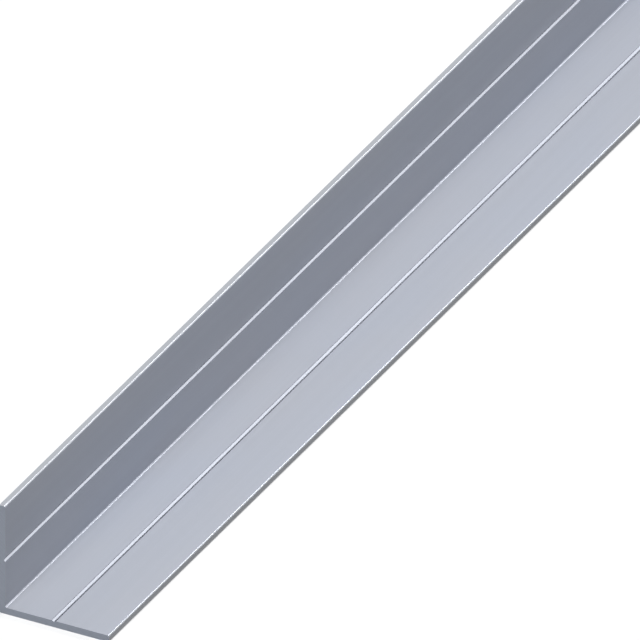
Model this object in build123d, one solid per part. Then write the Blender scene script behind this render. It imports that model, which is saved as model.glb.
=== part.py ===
from build123d import *
import os

# A length of extruded aluminium angle with equal legs, sawn square at both ends.
# One leg lies on the floor and the other stands along its back edge.
# A fine V groove runs down the middle of each inner face. It is the line that holes
# are marked out and drilled on.
#
# Frame: millimetres. X runs across the lying leg, from the standing leg to the toe.
# Y runs along the bar and Z is up. The origin is on the underside of the lying leg,
# midway across it and midway along the bar.

# Section
LEG = 25.0            # outside width of each leg, from the heel to the toe
WALL = 1.5            # thickness of each leg
ROOT_RADIUS = 0.35    # fillet in the inner corner between the legs
TOE_RADIUS = 0.3      # rounding of the two edges along each leg's free end
HEEL_RADIUS = 0.3     # rounding of the outer corner

# Marking groove
GROOVE_WIDTH = 0.9    # across its mouth, at the surface of the leg
GROOVE_DEPTH = 0.25   # from the surface to the bottom of the V

# Stock
LENGTH = 1000.0       # as sawn

GROOVE_LINE = LEG / 2  # the groove's distance from the outside of the heel

NODE = "angle_section"


def leg_outline():
    """One leg lying flat with its heel at the sketch's origin, before its edges are rounded."""
    return [
        (0, 0),
        (LEG, 0),
        (LEG, WALL),
        (GROOVE_LINE + GROOVE_WIDTH / 2, WALL),
        (GROOVE_LINE, WALL - GROOVE_DEPTH),
        (GROOVE_LINE - GROOVE_WIDTH / 2, WALL),
        (WALL, WALL),
    ]


def rounded(face, corners, radius):
    """The face with the corners at these points filleted."""
    return fillet([face.vertices().sort_by_distance(corner)[0] for corner in corners], radius)


def section():
    """The whole section: one leg and its mirror image about the diagonal of the heel."""
    lying_leg = leg_outline()
    standing_leg = [(height, across) for across, height in reversed(lying_leg[1:-1])]
    profile = make_face(Polyline(*lying_leg, *standing_leg, close=True))
    profile = rounded(profile, [(LEG, 0), (LEG, WALL), (WALL, LEG), (0, LEG)], TOE_RADIUS)
    profile = rounded(profile, [(0, 0)], HEEL_RADIUS)
    return rounded(profile, [(WALL, WALL)], ROOT_RADIUS)


def angle_section():
    """The section stood on edge at the near end of the bar and drawn out along Y."""
    near_end = Plane(origin=(-LEG / 2, -LENGTH / 2, 0), x_dir=(1, 0, 0), z_dir=(0, -1, 0))
    bar = extrude(near_end * section(), amount=-LENGTH)
    bar.label = NODE
    return bar


os.makedirs("parts", exist_ok=True)
export_step(angle_section(), f"parts/{NODE}.step")
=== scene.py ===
import bpy
import math
from mathutils import Matrix, Vector


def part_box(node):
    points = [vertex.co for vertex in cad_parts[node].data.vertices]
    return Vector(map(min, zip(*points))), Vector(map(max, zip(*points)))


# A length of satin anodised aluminium angle lying on a white studio floor: one leg on the
# floor, the other standing along its back edge, seen over its near end from the open side.

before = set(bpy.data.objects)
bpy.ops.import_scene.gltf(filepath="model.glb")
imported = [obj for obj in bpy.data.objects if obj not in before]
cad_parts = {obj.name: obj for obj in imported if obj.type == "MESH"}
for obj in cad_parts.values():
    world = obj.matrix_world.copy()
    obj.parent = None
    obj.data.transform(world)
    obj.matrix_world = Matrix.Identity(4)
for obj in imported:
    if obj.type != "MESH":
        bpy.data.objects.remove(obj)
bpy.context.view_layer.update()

MM = 0.001
BAR = "angle_section"

# ---- the bar's own sizes, in metres -------------------------------------------------

lowest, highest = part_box(BAR)
LEG = highest.z - lowest.z
LENGTH = highest.y - lowest.y
WALL = 1.5 * MM
TOE_RADIUS = 0.3 * MM
GROOVE_WIDTH = 0.9 * MM
GROOVE_DEPTH = 0.25 * MM
GROOVE_HEIGHT = LEG / 2                 # of the standing leg's groove; the other is at X = 0
OUTER_FACE = lowest.x                   # X of the standing leg's two faces
INNER_FACE = OUTER_FACE + WALL

# ---- view ---------------------------------------------------------------------------

VIEW_AZIMUTH = math.radians(27.88)      # from the near end round to the open side
VIEW_ELEVATION = math.radians(31.10)
VIEW_WIDTH = 127.74 * MM                # of the frame, across the parallel view
VIEW_DISTANCE = 1.5
AIM = Vector((OUTER_FACE + 3.98 * MM, -LENGTH / 2 + 129.75 * MM, 0))

# ---- light --------------------------------------------------------------------------

LIT_POINT = Vector((0, AIM.y, 0))       # all lamps point at this place under the bar

# name, direction from the lit point, distance, diameter, brightness
ROUND_LAMPS = (
    ("overhead", (0.06, -0.1, 1.0), 1.6, 0.45, 37.3),
    ("near_end", (0.0, -1.0, 1.0), 1.6, 0.8, 2.8),
    ("back_fill", (-1.0, 0.0, 0.15), 1.6, 0.45, 18.0),
)

# Strips that show as bright lines in the grooves and the rounded edges. Seen from the
# camera, a surface that runs along the bar mirrors one ring of directions, and each strip
# lies along a part of that ring.
RING_FORWARD = math.cos(VIEW_AZIMUTH) * math.cos(VIEW_ELEVATION)    # its reach along the bar
RING_RADIUS = math.sqrt(1 - RING_FORWARD ** 2)                      # and round it
STRIP_DISTANCE = 2.0
STRIP_WIDTH = math.radians(12)

# name, from angle, to angle, brightness: 0 degrees is the open side, and 90 is overhead
STRIP_LAMPS = (
    ("upper_strip", 84, 106, 12.0),
    ("middle_strip", 62, 84, 4.0),
    ("low_strip", 16, 62, 0.7),
    ("floor_strip", 0, 16, 3.7),
)

# The sky and the floor are pale as seen, straight or mirrored in the metal, and darker as
# they light the bar.
SKY_COLOUR = (0.95, 1.0, 1.08)
SKY_SEEN = 0.6
SKY_LIGHT = 0.1

FLOOR_SIZE = 8.0
FLOOR_ROUGHNESS = 0.9
FLOOR_SEEN = 0.55                       # the part of the floor's white that takes shadows
FLOOR_GLOW = 0.4                        # and the part that no shadow dims
FLOOR_BOUNCE = 0.32                     # its grey as it throws light back at the bar

# ---- finishes -----------------------------------------------------------------------

SATIN_COOL = (0.475, 0.501, 0.566)      # anodised faces, where the oxide is bluer
SATIN_WARM = (0.483, 0.500, 0.551)      # and where it is more neutral
SATIN_METALLIC = 0.2
SATIN_ROUGHNESS = 0.22
SATIN_SPECULAR = 0.1

TOP_TOE_COLOUR = (0.448, 0.463, 0.492)  # the standing leg's toe, rubbed neutral in handling
LOW_TOE_PAINTED_SHADE = (0.365, 0.378, 0.402)  # the lying leg's toe, darker: painted shade that holds back the floor's light on it
ROUND_METALLIC = 0.34                   # rounded edges and the root, burnished by the die

GROOVE_PAINTED_SHADE_COLOUR = (0.25, 0.26, 0.29)      # darker: painted shade in the grooves and on their lips; their shine, drawn bright by the die, is GROOVE_METALLIC
GROOVE_METALLIC = 0.85
GROOVE_LIP = 0.1 * MM                   # burnished width of the face on each side, also darkened with the groove's painted shade

SAWN_COLOUR = (0.446, 0.485, 0.566)     # bare metal of the cut ends
SAWN_ROUGHNESS = 0.36
SPINDLE_X = 90.0 * MM                   # centre of the saw blade, off beyond the toes
SPINDLE_Z = 115.0 * MM

# ---- marks in the metal -------------------------------------------------------------

# Streaks of noise: how wide and long each is, its detail, and its turn from the bar's
# length in radians.
DIE_LINES = {"width": 0.3 * MM, "length": 180 * MM, "detail": 3.0}
DIE_BANDS = {"width": 2.2 * MM, "length": 600 * MM, "detail": 1.0}
OXIDE_DRIFT = {"width": 22 * MM, "length": 60 * MM, "detail": 2.0}
RUBS = {"width": 0.12 * MM, "length": 22 * MM, "detail": 1.0, "turn": 0.05}
SCRATCHES = {"width": 0.08 * MM, "length": 14 * MM, "detail": 1.0, "turn": -0.5}
SAW_ARCS = {"width": 0.25 * MM, "length": 50 * MM, "detail": 3.0}
FINE_DETAIL = 0.6                       # how strongly each finer layer of a noise shows

# Where a mask starts and where it is full, in the units of what it is made from.
USUAL_NOISE = (0.3, 0.7)                # most of a streak's noise
RUB_NOISE = (0.66, 0.76)
SCRATCH_NOISE = (0.70, 0.76)
ROUND_TURN = (0.05, 0.3)                # X times Z of the facing, which is 0.5 at 45 degrees
OUTSIDE_REACH = (0.4 * MM, 0.05 * MM)   # inwards from an outer face
BURR_REACH = (0.25 * MM, 0.1 * MM)      # along the bar from the cut
END_FACING = 0.9                        # a face this square to the bar's length is sawn
INSIDE_WEAR = 0.12                      # rubs and scratches inside, as a share of outside

# What each mark does to the colour's brightness,
DIE_LINE_SHADE = 0.015
DIE_BAND_SHADE = 0.01
WEAR_SHADE = 0.07
BURR_SHADE = 0.08
SAW_ARC_SHADE = 0.1
# to the roughness,
DIE_LINE_ROUGHNESS = 0.015
OXIDE_ROUGHNESS = 0.01
WEAR_ROUGHNESS = 0.15
SAW_ARC_ROUGHNESS = 0.04
# and to the height, in millimetres.
DIE_LINE_HEIGHT = 0.0012
WEAR_DEPTH = 0.002
SAW_ARC_HEIGHT = 0.012


# ---- node helpers -------------------------------------------------------------------

def feed(tree, socket, value):
    """Give an input its value, which may be another node's output."""
    if isinstance(value, bpy.types.NodeSocket):
        tree.links.new(value, socket)
    elif socket.type == "RGBA":
        socket.default_value = (*value, 1)
    else:
        socket.default_value = value


def in_use(sockets, name=None):
    """The first socket in use, of this name where one is given: some nodes repeat a name."""
    return next(socket for socket in sockets if socket.enabled and name in (None, socket.name))


def add_node(tree, kind, settings=None, **inputs):
    """A node with its settings and its inputs, whose names have _ in place of a space."""
    node = tree.nodes.new(kind)
    for name, value in (settings or {}).items():
        setattr(node, name, value)
    for name, value in inputs.items():
        feed(tree, in_use(node.inputs, name.replace("_", " ")), value)
    return node


def math_node(tree, operation, first, second=0.0):
    node = tree.nodes.new("ShaderNodeMath")
    node.operation = operation
    feed(tree, node.inputs[0], first)
    feed(tree, node.inputs[1], second)
    return node.outputs["Value"]


def plus(tree, first, second):
    return math_node(tree, "ADD", first, second)


def minus(tree, first, second):
    return math_node(tree, "SUBTRACT", first, second)


def times(tree, first, second):
    return math_node(tree, "MULTIPLY", first, second)


def larger(tree, first, second):
    return math_node(tree, "MAXIMUM", first, second)


def size_of(tree, value):
    return math_node(tree, "ABSOLUTE", value)


def spread(tree, value, start, full, at_start=0.0, at_full=1.0):
    """The value's range from start to full, clamped and laid over another range."""
    return add_node(tree, "ShaderNodeMapRange", Value=value, From_Min=start, From_Max=full,
                    To_Min=at_start, To_Max=at_full).outputs["Result"]


def swing(tree, noise, middle, reach):
    """The usual range of a noise, laid evenly about a middle value."""
    return spread(tree, noise, *USUAL_NOISE, middle - reach, middle + reach)


def mixed(tree, factor, first, second, blend="MIX"):
    """Two colours mixed."""
    settings = {"data_type": "RGBA", "blend_type": blend}
    node = add_node(tree, "ShaderNodeMix", settings, Factor=factor, A=first, B=second)
    return in_use(node.outputs)


def blended(tree, factor, first, second):
    """Two numbers mixed."""
    settings = {"data_type": "FLOAT"}
    node = add_node(tree, "ShaderNodeMix", settings, Factor=factor, A=first, B=second)
    return in_use(node.outputs)


def streaks(tree, place, width, length, detail, turn=0.0):
    """Noise drawn out along the bar, each streak this wide and long and turned across it."""
    turned = add_node(tree, "ShaderNodeMapping", Vector=place, Rotation=(0, 0, turn))
    scaled = add_node(tree, "ShaderNodeMapping", Vector=turned.outputs["Vector"],
                      Scale=(1 / width, 1 / length, 1.0))
    noise = add_node(tree, "ShaderNodeTexNoise", Vector=scaled.outputs["Vector"],
                     Scale=1.0, Detail=detail, Roughness=FINE_DETAIL)
    return noise.outputs["Fac"]


def seen_rays(tree):
    """1 for rays straight from the eye or by way of a mirror or glass, and 0 for all others."""
    ray = add_node(tree, "ShaderNodeLightPath").outputs
    seen = larger(tree, ray["Is Camera Ray"], ray["Is Glossy Ray"])
    return larger(tree, seen, ray["Is Transmission Ray"])


# ---- studio -------------------------------------------------------------------------

def add_camera():
    """A parallel view from above the near end, on the open side."""
    level = math.cos(VIEW_ELEVATION)
    sideways = math.sin(VIEW_AZIMUTH) * level
    endways = -math.cos(VIEW_AZIMUTH) * level
    back = Vector((sideways, endways, math.sin(VIEW_ELEVATION)))
    data = bpy.data.cameras.new("camera")
    data.type = "ORTHO"
    data.ortho_scale = VIEW_WIDTH
    camera = bpy.data.objects.new("camera", data)
    camera.location = AIM + back * VIEW_DISTANCE
    camera.rotation_euler = back.to_track_quat("Z", "Y").to_euler()
    bpy.context.scene.collection.objects.link(camera)
    bpy.context.scene.camera = camera


def add_lamp(name, direction, distance, brightness, width, height=None, upright=Vector((0, 1, 0))):
    """A disk, or a rectangle where a height is given, that faces the lit point."""
    data = bpy.data.lights.new(name, "AREA")
    data.size = width
    if height is None:
        data.shape = "DISK"
        area = math.pi * (width / 2) ** 2
    else:
        data.shape = "RECTANGLE"
        data.size_y = height
        area = width * height
    data.energy = math.pi * area * brightness
    out = Vector(direction).normalized()
    up = (upright - upright.dot(out) * out).normalized()
    across = up.cross(out)
    turn = Matrix((across, up, out)).transposed().to_4x4()
    lamp = bpy.data.objects.new(name, data)
    lamp.matrix_world = Matrix.Translation(LIT_POINT + out * distance) @ turn
    bpy.context.scene.collection.objects.link(lamp)


def add_round_lamps():
    for name, direction, distance, diameter, brightness in ROUND_LAMPS:
        add_lamp(name, direction, distance, brightness, diameter)


def add_strip_lamps():
    width = STRIP_DISTANCE * STRIP_WIDTH
    for name, start, end, brightness in STRIP_LAMPS:
        angle = math.radians((start + end) / 2)
        direction = (RING_RADIUS * math.cos(angle), RING_FORWARD, RING_RADIUS * math.sin(angle))
        along_ring = Vector((-math.sin(angle), 0, math.cos(angle)))
        height = STRIP_DISTANCE * RING_RADIUS * math.radians(end - start)
        add_lamp(name, direction, STRIP_DISTANCE, brightness, width, height, along_ring)


def add_sky():
    """Pale to the eye and in mirrored rays, but dim as a light."""
    world = bpy.data.worlds.new("studio")
    world.use_nodes = True
    tree = world.node_tree
    sky = tree.nodes["Background"].inputs
    feed(tree, sky["Color"], SKY_COLOUR)
    feed(tree, sky["Strength"], blended(tree, seen_rays(tree), SKY_LIGHT, SKY_SEEN))
    bpy.context.scene.world = world


def floor_material():
    """White to the eye and in mirrored rays, and grey as it throws light back at the bar."""
    material = bpy.data.materials.new("pale floor")
    material.use_nodes = True
    tree = material.node_tree
    shader = tree.nodes["Principled BSDF"].inputs
    seen = seen_rays(tree)
    feed(tree, shader["Base Color"], mixed(tree, seen, (FLOOR_BOUNCE,) * 3, (FLOOR_SEEN,) * 3))
    feed(tree, shader["Roughness"], FLOOR_ROUGHNESS)
    feed(tree, shader["Specular IOR Level"], 0.0)
    feed(tree, shader["Emission Color"], (1, 1, 1))
    feed(tree, shader["Emission Strength"], times(tree, seen, FLOOR_GLOW))
    material.cycles.emission_sampling = "NONE"
    return material


def add_floor():
    reach = FLOOR_SIZE / 2
    corners = [(-reach, -reach, 0), (reach, -reach, 0), (reach, reach, 0), (-reach, reach, 0)]
    mesh = bpy.data.meshes.new("floor")
    mesh.from_pydata(corners, [], [(0, 1, 2, 3)])
    mesh.materials.append(floor_material())
    floor = bpy.data.objects.new("floor", mesh)
    bpy.context.scene.collection.objects.link(floor)


# ---- places on the bar --------------------------------------------------------------

def within(tree, value, middle, reach):
    """1 where the value is nearer to the middle than the reach, and 0 elsewhere."""
    return math_node(tree, "LESS_THAN", size_of(tree, minus(tree, value, middle)), reach)


def sawn_mask(tree, facing):
    """The two cut ends."""
    return math_node(tree, "GREATER_THAN", size_of(tree, facing["Y"]), END_FACING)


def groove_mask(tree, x, z):
    """The walls of both marking grooves, and their lips, which take painted shade and a bright metal
    finish.
    """
    near = GROOVE_WIDTH / 2 + GROOVE_LIP
    past_bottom = GROOVE_DEPTH * 1.5
    lying = times(tree, within(tree, x, 0.0, near), within(tree, z, WALL, past_bottom))
    standing = times(tree, within(tree, z, GROOVE_HEIGHT, near),
                     within(tree, x, INNER_FACE, past_bottom))
    return larger(tree, lying, standing)


def toe_mask(tree, across_leg):
    """The thin edge in which a leg ends, by the distance from the heel's side."""
    return spread(tree, across_leg, LEG - TOE_RADIUS / 2, LEG - TOE_RADIUS / 4)


def round_mask(tree, facing):
    """The rounded edges and the root, where the surface turns from one face to the next."""
    return spread(tree, size_of(tree, times(tree, facing["X"], facing["Z"])), *ROUND_TURN)


def burr_mask(tree, y):
    """The last of each face, scraped bright where the saw's burr came off."""
    start, full = BURR_REACH
    return spread(tree, size_of(tree, y), LENGTH / 2 - start, LENGTH / 2 - full)


def outside_mask(tree, x, z):
    """The two outer faces, behind and beneath, in full, and a share of it inside."""
    start, full = OUTSIDE_REACH
    behind = spread(tree, x, OUTER_FACE + start, OUTER_FACE + full)
    beneath = spread(tree, z, start, full)
    return spread(tree, larger(tree, behind, beneath), 0.0, 1.0, INSIDE_WEAR, 1.0)


# ---- marks on the bar ---------------------------------------------------------------

def rolled_out(tree, x, y, z):
    """Across and along both legs alike, as if the section were rolled out flat."""
    flat = add_node(tree, "ShaderNodeCombineXYZ", X=plus(tree, x, z), Y=y, Z=0.0)
    return flat.outputs["Vector"]


def about_spindle(tree, x, y, z):
    """Away from the saw blade's centre, so that streaks become arcs about it."""
    off_x = math_node(tree, "POWER", minus(tree, x, SPINDLE_X), 2.0)
    off_z = math_node(tree, "POWER", minus(tree, z, SPINDLE_Z), 2.0)
    radius = math_node(tree, "SQRT", plus(tree, off_x, off_z))
    return add_node(tree, "ShaderNodeCombineXYZ", X=radius, Y=y, Z=0.0).outputs["Vector"]


def wear(tree, skin, outside):
    """Rubs from stacking, nearly along the bar, and scratches from handling, across it."""
    rubs = spread(tree, streaks(tree, skin, **RUBS), *RUB_NOISE)
    scratches = spread(tree, streaks(tree, skin, **SCRATCHES), *SCRATCH_NOISE)
    return times(tree, larger(tree, rubs, scratches), outside)


def aluminium():
    """Satin anodised extrusion with bright-drawn grooves and bare sawn ends; the grooves and the
    lying leg's toe carry painted shade.
    """
    material = bpy.data.materials.new("anodised aluminium")
    material.use_nodes = True
    tree = material.node_tree
    shader = tree.nodes["Principled BSDF"].inputs

    where = add_node(tree, "ShaderNodeTexCoord").outputs
    x, y, z = add_node(tree, "ShaderNodeSeparateXYZ", Vector=where["Object"]).outputs
    facing = add_node(tree, "ShaderNodeSeparateXYZ", Vector=where["Normal"]).outputs
    sawn = sawn_mask(tree, facing)
    groove = times(tree, groove_mask(tree, x, z), minus(tree, 1.0, sawn))
    rounded = round_mask(tree, facing)
    top_toe = toe_mask(tree, z)
    low_toe_painted_shade = toe_mask(tree, minus(tree, x, OUTER_FACE))

    skin = rolled_out(tree, x, y, z)
    die_lines = streaks(tree, skin, **DIE_LINES)
    die_bands = streaks(tree, skin, **DIE_BANDS)
    oxide = streaks(tree, skin, **OXIDE_DRIFT)
    worn = wear(tree, skin, outside_mask(tree, x, z))
    burr = burr_mask(tree, y)
    saw_arcs = streaks(tree, about_spindle(tree, x, y, z), **SAW_ARCS)

    colour = mixed(tree, spread(tree, oxide, *USUAL_NOISE), SATIN_COOL, SATIN_WARM)
    colour = mixed(tree, top_toe, colour, TOP_TOE_COLOUR)
    # Painted shade: the lying leg's toe is made darker to hold back the floor's light on it.
    colour = mixed(tree, low_toe_painted_shade, colour, LOW_TOE_PAINTED_SHADE)
    # Painted shade: the grooves and their lips get a darker colour, and their bright lines are the
    # metal's real reflection.
    colour = mixed(tree, groove, colour, GROOVE_PAINTED_SHADE_COLOUR)
    colour = mixed(tree, sawn, colour, SAWN_COLOUR)
    skin_shade = times(tree, swing(tree, die_lines, 1.0, DIE_LINE_SHADE),
                       swing(tree, die_bands, 1.0, DIE_BAND_SHADE))
    skin_shade = plus(tree, skin_shade, times(tree, worn, WEAR_SHADE))
    skin_shade = plus(tree, skin_shade, times(tree, burr, BURR_SHADE))
    shade = blended(tree, sawn, skin_shade, swing(tree, saw_arcs, 1.0, SAW_ARC_SHADE))
    grey = add_node(tree, "ShaderNodeCombineColor", Red=shade, Green=shade, Blue=shade)
    colour = mixed(tree, 1.0, colour, grey.outputs["Color"], blend="MULTIPLY")
    feed(tree, shader["Base Color"], colour)

    metallic = blended(tree, rounded, SATIN_METALLIC, ROUND_METALLIC)
    metallic = blended(tree, groove, metallic, GROOVE_METALLIC)
    feed(tree, shader["Metallic"], metallic)
    feed(tree, shader["Specular IOR Level"], SATIN_SPECULAR)

    skin_rough = plus(tree, swing(tree, die_lines, SATIN_ROUGHNESS, DIE_LINE_ROUGHNESS),
                      swing(tree, oxide, 0.0, OXIDE_ROUGHNESS))
    skin_rough = plus(tree, skin_rough, times(tree, worn, WEAR_ROUGHNESS))
    saw_rough = swing(tree, saw_arcs, SAWN_ROUGHNESS, SAW_ARC_ROUGHNESS)
    feed(tree, shader["Roughness"], blended(tree, sawn, skin_rough, saw_rough))

    skin_height = minus(tree, times(tree, die_lines, DIE_LINE_HEIGHT), times(tree, worn, WEAR_DEPTH))
    height = blended(tree, sawn, skin_height, times(tree, saw_arcs, SAW_ARC_HEIGHT))
    bump = add_node(tree, "ShaderNodeBump", Height=height, Strength=1.0, Distance=MM)
    feed(tree, shader["Normal"], bump.outputs["Normal"])
    return material


# ---- assembly -----------------------------------------------------------------------

def dress_bar():
    finish = aluminium()
    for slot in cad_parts[BAR].material_slots:
        slot.material = finish


add_camera()
add_sky()
add_round_lamps()
add_strip_lamps()
add_floor()
dress_bar()

bpy.context.scene.view_settings.view_transform = "Standard"
